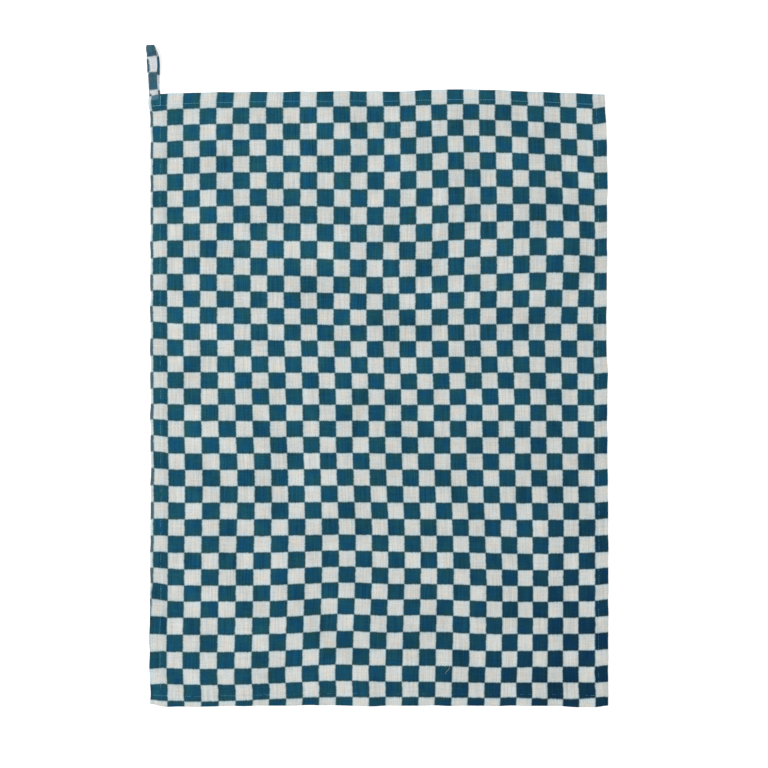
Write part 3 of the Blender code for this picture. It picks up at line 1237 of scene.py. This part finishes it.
def make_cloth(cloth, loop):
    """The cloth: its middle surface, moved half its thickness along its normals both ways and closed."""
    middle, thick, flat = cloth_surface(cloth, loop)
    half = grid_normals(middle) * thick[:, :, None] / 2
    rows, columns = middle.shape[:2]
    count = rows * columns
    points = np.concatenate([(middle + half).reshape(-1, 3), (middle - half).reshape(-1, 3)])
    face = grid_faces(rows, columns)
    back = grid_faces(rows, columns, first=count)[:, ::-1]
    edge = edge_loop(rows, columns)
    after = np.roll(edge, -1)
    rim = np.stack([edge, edge + count, after + count, after], axis=-1)
    faces = np.concatenate([face, back, rim])

    corner = (cloth.first_column, cloth.first_row)
    patch_corner = (-cloth.width / 2 + TAPE_FROM_FOLD + loop.tape_width / 2, cloth.length / 2 - PATCH_BELOW_FOLD)
    materials = [
        cloth_material("check_cloth_face", cloth, cloth, corner, patch_corner=patch_corner),
        cloth_material("check_cloth_back", cloth, cloth, corner, reverse=True),
    ]
    obj = new_piece("woven_towel", points, faces.tolist(), materials)
    shown = np.zeros(len(faces), dtype=np.int32)
    shown[len(face) : len(face) + len(back)] = 1
    obj.data.polygons.foreach_set("material_index", shown)
    set_flat_map(obj, np.concatenate([flat, flat]))
    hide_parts("towel_cloth")
    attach(obj, BODY)


def thread_thickness(stitching, seam):
    """How thick a seam's thread looks: thinner the less proud it stands."""
    return stitching.thread_thick * (THINNEST + (1 - THINNEST) * seam.proud)


def stitch_paths(cloth, loop, stitching, seam, on_back):
    """Each stitch of a seam as five points: its ends dip into the cloth, and its middle rides on top."""
    start = np.array([seam.across_from, seam.up_from]) * MM
    end = np.array([seam.across_to, seam.up_to]) * MM
    length = np.linalg.norm(end - start)
    count = round(length / stitching.stitch)
    along = (np.arange(count)[:, None] + STITCH_ALONG) / count
    places = start + (end - start) * along[:, :, None]
    waver = STITCH_WAVER * wander(along * length, span=63 * MM, phase=seam.across_from)
    side = np.array([end[1] - start[1], start[0] - end[0]]) / length
    places = places + waver[:, :, None] * side
    rise = STITCH_RISE * thread_thickness(stitching, seam)
    if on_back:
        return back_point(cloth, loop, places[..., 0], places[..., 1], rise - rise.max())
    sunk = 0.5 * max(1 - seam.proud, 0.0) * stitching.thread_thick
    return face_point(cloth, loop, places[..., 0], places[..., 1], rise - sunk)


def make_stitches(cloth, loop, stitching):
    """The sewing: short tubes, thin at their ends, along every seam."""
    material = thread_material("sewing_thread", stitching.thread_tint, THREAD_TWIST)
    groups = {"hem_stitches_face": FACE_SEAMS, "hem_stitches_back": BACK_SEAMS, "loop_tack": TACK}
    for name, seams in groups.items():
        paths = [stitch_paths(cloth, loop, stitching, seam, seams is BACK_SEAMS) for seam in seams]
        thick = [thread_thickness(stitching, seam) for seam in seams]
        radii = [np.tile(STITCH_TAPER * width, (len(path), 1)) for width, path in zip(thick, paths)]
        points, faces = tubes(np.concatenate(paths), np.concatenate(radii), THREAD_SIDES)
        obj = new_piece(name, points, faces, [material])
        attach(obj, BODY)
    size = cut_size(cloth)


def make_fibre(cloth, loop, stitching):
    """The stray fibre: a thin tube along a smooth line a little above the face."""
    line = curve_through(np.array(FIBRE) * MM, FIBRE_STEPS)
    path = face_point(cloth, loop, line[:, 0], line[:, 1], line[:, 2])
    radii = FIBRE_THICK / 2 * (1 - 0.5 * np.linspace(-1, 1, len(path)) ** 2)
    points, faces = tubes(path[None], radii[None], FIBRE_SIDES)
    material = thread_material("stray_fibre", stitching.fibre_tint, FIBRE_TWIST)
    obj = new_piece("stray_fibre", points, faces, [material])
    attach(obj, BODY)


def make_stage(stage):
    """A white floor, an even sky, one wide soft light at the left, and the camera straight above."""
    half = stage.floor_size / 2
    corners = np.array([[-half, -half, 0.0], [half, -half, 0.0], [half, half, 0.0], [-half, half, 0.0]])
    material = floor_material(stage.floor_tint, stage.floor_glow)
    floor = new_piece("studio_floor", corners, [[0, 1, 2, 3]], [material])

    world = bpy.data.worlds.new("studio_sky")
    world.use_nodes = True
    sky = world.node_tree.nodes["Background"]
    sky.inputs["Color"].default_value = WHITE
    sky.inputs["Strength"].default_value = stage.sky
    scene = bpy.context.scene
    scene.world = world
    scene.view_settings.view_transform = "Standard"

    lamp = bpy.data.lights.new("soft_key", "AREA")
    lamp.shape = "RECTANGLE"
    lamp.size = KEY_SIZE
    lamp.size_y = KEY_SIZE
    lamp.energy = stage.key
    key = bpy.data.objects.new("soft_key", lamp)
    key.location = KEY_PLACE
    key.rotation_mode = "QUATERNION"
    key.rotation_quaternion = Vector(KEY_PLACE).to_track_quat("Z", "Y")
    scene.collection.objects.link(key)

    optics = bpy.data.cameras.new("studio_camera")
    optics.lens = stage.lens
    optics.clip_end = SIGHT
    camera = bpy.data.objects.new("studio_camera", optics)
    middle = (FRAME_LOW + FRAME_HIGH) / 2
    height = stage.view_width * stage.lens / optics.sensor_width
    camera.location = (middle.x + stage.aim_right, middle.y + stage.aim_up, height)
    scene.collection.objects.link(camera)
    scene.camera = camera


def main():
    register()
    bpy.ops.hand_towel.fold_loop()
    bpy.ops.hand_towel.weave_cloth()
    bpy.ops.hand_towel.sew_hems()
    bpy.ops.hand_towel.drop_fibre()
    bpy.ops.hand_towel.set_stage()


if __name__ == "__main__":
    main()
